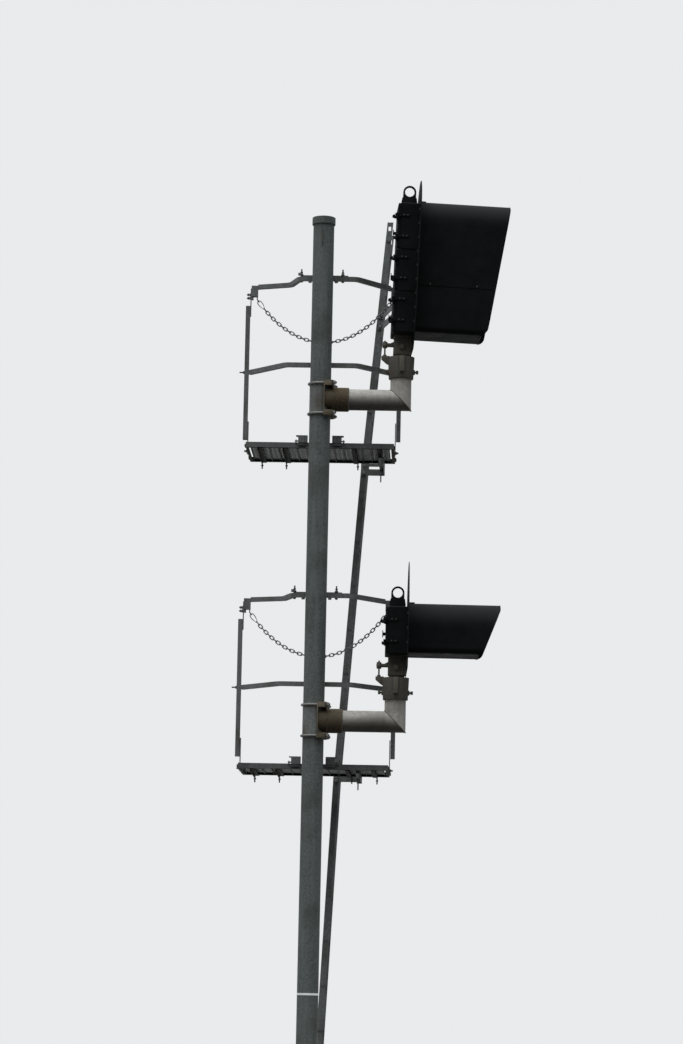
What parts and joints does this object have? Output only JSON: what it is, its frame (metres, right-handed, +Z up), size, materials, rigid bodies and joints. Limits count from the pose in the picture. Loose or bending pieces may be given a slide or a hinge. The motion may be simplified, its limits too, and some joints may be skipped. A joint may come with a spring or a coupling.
{
  "type": "railway signal mast with two colour-light heads",
  "caption": "Tubular railway signal mast with colour-light heads on elbow arms, work platforms with handrails and chains, and a leaning ladder.",
  "frame": {"origin": "centre of the base flange's underside, at ground level", "axes": "+Z up along the mast, +X the way the heads face, +Y from the mast towards the ladder"},
  "size_m": [1.7975, 1.6813, 7.3869],
  "materials": {
    "galvanised_steel": "dull, spangled",
    "bright_pipe": "satin",
    "cast_base": "rough",
    "rusty_casting": "rusty, rough",
    "grey_casting": "weathered",
    "bolt_steel": "dull, lightly rusted",
    "bright_band": "bright",
    "black_paint": "satin black",
    "reflector": "polished",
    "green_glass": "clear",
    "yellow_glass": "clear",
    "red_glass": "clear"
  },
  "bodies": {
    "mast_assembly": {"mast": "galvanised_steel", "mast_cap": "galvanised_steel", "mast_base": "cast_base", "mast_band": "bright_band", "mast_staple": "bolt_steel", "ladder_stiles": "galvanised_steel", "ladder_rungs": "galvanised_steel", "ladder_brackets": "galvanised_steel", "lower_arm": "bright_pipe", "lower_arm_saddle": "rusty_casting", "lower_arm_u_bolts": "bolt_steel", "lower_platform_frame": "galvanised_steel", "lower_platform_deck": "galvanised_steel", "lower_mast_brackets": "galvanised_steel", "lower_handrails": "galvanised_steel", "lower_rail_posts": "galvanised_steel", "lower_chain": "galvanised_steel", "upper_arm": "bright_pipe", "upper_arm_saddle": "rusty_casting", "upper_arm_u_bolts": "bolt_steel", "upper_platform_frame": "galvanised_steel", "upper_platform_deck": "galvanised_steel", "upper_mast_brackets": "galvanised_steel", "upper_handrails": "galvanised_steel", "upper_rail_posts": "galvanised_steel", "upper_chain": "galvanised_steel"},
    "lower_swivel": {"lower_head_sleeve": "grey_casting", "lower_mount_bolts": "bolt_steel"},
    "lower_head": {"lower_head_yoke": "grey_casting", "lower_head_case": "black_paint", "lower_lifting_eye": "black_paint", "lower_backplate": "black_paint", "lower_hood": "black_paint", "lower_lamp_units": "reflector", "lower_lens_1": "yellow_glass"},
    "lower_door_leaf_1": {"lower_door_1": "black_paint"},
    "upper_swivel": {"upper_head_sleeve": "grey_casting", "upper_mount_bolts": "bolt_steel"},
    "upper_head": {"upper_head_yoke": "grey_casting", "upper_head_case": "black_paint", "upper_lifting_eye": "black_paint", "upper_backplate": "black_paint", "upper_hood": "black_paint", "upper_lamp_units": "reflector", "upper_lens_1": "red_glass", "upper_lens_2": "yellow_glass", "upper_lens_3": "green_glass"},
    "upper_door_leaf_1": {"upper_door_1": "black_paint"},
    "upper_door_leaf_2": {"upper_door_2": "black_paint"},
    "upper_door_leaf_3": {"upper_door_3": "black_paint"}
  },
  "joints": [
    {"name": "lower_pan", "type": "hinge", "parent": "mast_assembly", "child": "lower_swivel", "pos_m": [0.54, 0, 3.922], "axis": [0, 0, 1], "range_deg": [-5, 5]},
    {"name": "lower_tilt", "type": "hinge", "parent": "lower_swivel", "child": "lower_head", "pos_m": [0.54, 0, 4.072], "axis": [-0.0279, 0.9996, 0], "range_deg": [-3.8, 3.2]},
    {"name": "lower_door_1_hinge", "type": "hinge", "parent": "lower_head", "child": "lower_door_leaf_1", "pos_m": [0.46323, -0.1462, 4.29643], "axis": [0.0052, 0.0001, 1], "range_deg": [0, 110]},
    {"name": "upper_pan", "type": "hinge", "parent": "mast_assembly", "child": "upper_swivel", "pos_m": [0.54, 0, 6.087], "axis": [0, 0, 1], "range_deg": [-5, 5]},
    {"name": "upper_tilt", "type": "hinge", "parent": "upper_swivel", "child": "upper_head", "pos_m": [0.54, 0, 6.237], "axis": [-0.0663, 0.9978, 0], "range_deg": [-5.4, 1.6]},
    {"name": "upper_door_1_hinge", "type": "hinge", "parent": "upper_head", "child": "upper_door_leaf_1", "pos_m": [0.47518, -0.14862, 6.4636], "axis": [0.0331, 0.0022, 0.9995], "range_deg": [0, 110]},
    {"name": "upper_door_2_hinge", "type": "hinge", "parent": "upper_head", "child": "upper_door_leaf_2", "pos_m": [0.48471, -0.14799, 6.75144], "axis": [0.0331, 0.0022, 0.9995], "range_deg": [0, 110]},
    {"name": "upper_door_3_hinge", "type": "hinge", "parent": "upper_head", "child": "upper_door_leaf_3", "pos_m": [0.49423, -0.14736, 7.03928], "axis": [0.0331, 0.0022, 0.9995], "range_deg": [0, 110]}
  ]
}
